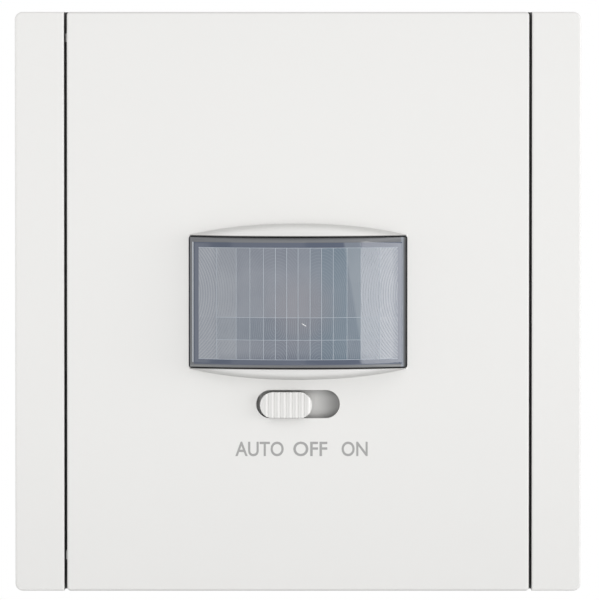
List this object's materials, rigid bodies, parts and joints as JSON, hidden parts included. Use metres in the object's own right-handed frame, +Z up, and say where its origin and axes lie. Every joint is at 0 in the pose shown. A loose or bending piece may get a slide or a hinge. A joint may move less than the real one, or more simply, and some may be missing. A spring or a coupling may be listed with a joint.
{
  "type": "motion sensor light switch",
  "caption": "Wall light switch with a bowed motion sensor lens and an AUTO, OFF, ON slider in a square white cover, on a clawed insert for a round wall box.",
  "frame": {"origin": "middle of the 60 mm fixing pattern, on the face of the wall", "axes": "+X to the right as seen from the room, +Y into the wall, +Z up"},
  "size_m": [0.0806, 0.048, 0.0826],
  "materials": {
    "black_plastic": "matt moulding",
    "board_green": "solder resist",
    "can_metal": "nickel-plated can",
    "capacitor_sleeve": "shrunk sleeve",
    "chip_black": "moulded package",
    "clear_epoxy": "clear epoxy",
    "dial_plastic": "matt moulding",
    "ferrite": "ferrite with a coated winding",
    "film_yellow": "film capacitor case",
    "filter_glass": "dark filter",
    "fuse_brown": "fuse case",
    "gold_pin": "gold-plated pin",
    "head_plastic": "matt moulding",
    "insert_plastic": "matt glass-filled moulding",
    "lens_sheet": "grey-blue heat-transparent sheet",
    "red_epoxy": "red epoxy",
    "relay_case": "relay case",
    "screw_steel": "zinc-plated screw",
    "spring_steel": "bright strip",
    "terminal_grey": "matt moulding",
    "trimmer_blue": "matt moulding",
    "varistor_blue": "epoxy coating",
    "white_cover": "fine satin moulding",
    "white_slider": "satin moulding",
    "zinc_steel": "zinc-plated sheet"
  },
  "bodies": {
    "insert": {"cover_frame": "white_cover", "support_plate": "zinc_steel", "plate_rivets": "screw_steel", "insert_housing": "insert_plastic", "insert_tub": "insert_plastic", "head_springs": "spring_steel", "socket_connector": "black_plastic", "power_board": "board_green", "power_board_screws": "screw_steel", "relay": "relay_case", "line_capacitor": "film_yellow", "snubber_capacitor": "film_yellow", "bulk_capacitor": "capacitor_sleeve", "varistor": "varistor_blue", "fuse": "fuse_brown", "choke": "ferrite", "terminal_block": "terminal_grey", "terminal_cages": "zinc_steel", "terminal_screws": "screw_steel"},
    "sensor_head": {"front_panel": "white_cover", "fresnel_lens": "lens_sheet", "lens_bezel": "black_plastic", "slider_retainer": "head_plastic", "sensor_housing": "head_plastic", "head_screws": "screw_steel", "sensor_board": "board_green", "board_screws": "screw_steel", "pir_sensor": "can_metal", "pir_window": "filter_glass", "light_sensor": "clear_epoxy", "status_led": "red_epoxy", "mode_switch": "black_plastic", "controller_chip": "chip_black", "board_capacitor": "capacitor_sleeve", "lux_trimmer": "trimmer_blue", "time_trimmer": "trimmer_blue", "plug_header": "black_plastic", "plug_pins": "gold_pin"},
    "slider": {"mode_slider": "white_slider", "switch_actuator": "black_plastic"},
    "lux_dial": {"lux_dial": "dial_plastic"},
    "time_dial": {"time_dial": "dial_plastic"},
    "claw_left": {"claw_left": "zinc_steel"},
    "claw_right": {"claw_right": "zinc_steel"},
    "claw_left_screw": {"claw_left_screw": "screw_steel"},
    "claw_right_screw": {"claw_right_screw": "screw_steel"}
  },
  "joints": [
    {"name": "head_pull", "type": "slide", "parent": "insert", "child": "sensor_head", "axis": [0, -1, 0], "range_m": [0, 0.03]},
    {"name": "mode_slide", "type": "slide", "parent": "sensor_head", "child": "slider", "axis": [1, 0, 0], "range_m": [0, 0.0034]},
    {"name": "lux_turn", "type": "hinge", "parent": "sensor_head", "child": "lux_dial", "pos_m": [-0.0085, 0.0139, -0.003], "axis": [0, 1, 0], "range_deg": [-135, 135]},
    {"name": "time_turn", "type": "hinge", "parent": "sensor_head", "child": "time_dial", "pos_m": [0.0085, 0.0139, -0.003], "axis": [0, 1, 0], "range_deg": [-135, 135]},
    {"name": "claw_left_swing", "type": "hinge", "parent": "insert", "child": "claw_left", "pos_m": [-0.0232, -0.00331, 0], "axis": [0, 0, 1], "range_deg": [0, 15]},
    {"name": "claw_left_screw_turn", "type": "hinge", "parent": "claw_left", "child": "claw_left_screw", "pos_m": [-0.0232, -0.00331, 0], "axis": [0, 1, 0], "range_deg": [0, 3600]},
    {"name": "claw_right_swing", "type": "hinge", "parent": "insert", "child": "claw_right", "pos_m": [0.0232, -0.00331, 0], "axis": [0, 0, -1], "range_deg": [0, 15]},
    {"name": "claw_right_screw_turn", "type": "hinge", "parent": "claw_right", "child": "claw_right_screw", "pos_m": [0.0232, -0.00331, 0], "axis": [0, 1, 0], "range_deg": [0, 3600]}
  ],
  "couplings": [
    {"joint": "claw_left_screw_turn", "follows": "claw_left_swing", "ratio": 240},
    {"joint": "claw_right_screw_turn", "follows": "claw_right_swing", "ratio": 240}
  ]
}
